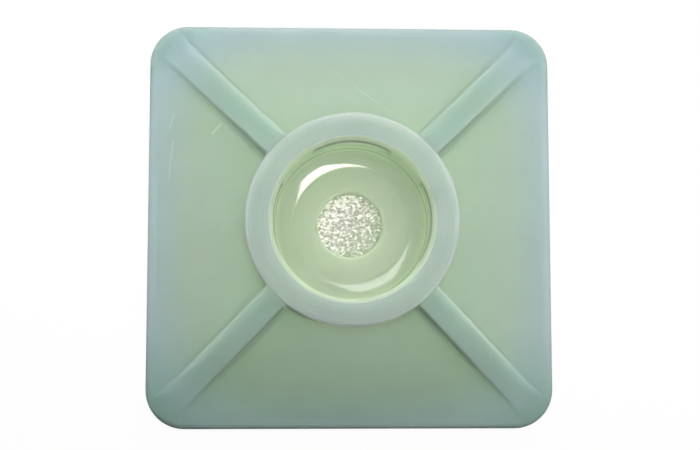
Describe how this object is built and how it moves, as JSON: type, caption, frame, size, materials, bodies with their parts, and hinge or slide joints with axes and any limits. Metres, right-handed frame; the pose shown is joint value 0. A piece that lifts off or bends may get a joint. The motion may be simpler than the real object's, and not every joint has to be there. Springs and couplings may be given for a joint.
{
  "type": "cable tie mount",
  "caption": "Square self-adhesive cable tie mount: a translucent nylon base with sloping panels, diagonal ribs and a bridged ring over crossing tie channels, on a foam adhesive pad.",
  "frame": {"origin": "middle of the foam pad's lower adhesive face, where the mount meets the surface it is stuck to", "axes": "+Z out of that surface, +X and +Y along the two tie channels"},
  "size_m": [0.028, 0.028, 0.0066],
  "materials": {
    "natural_nylon": "satin, translucent",
    "foam_tape": "closed-cell foam with a tacky clear adhesive film on both faces"
  },
  "bodies": {
    "root": {"mount_body": "natural_nylon", "adhesive_pad": "foam_tape"}
  },
  "joints": []
}
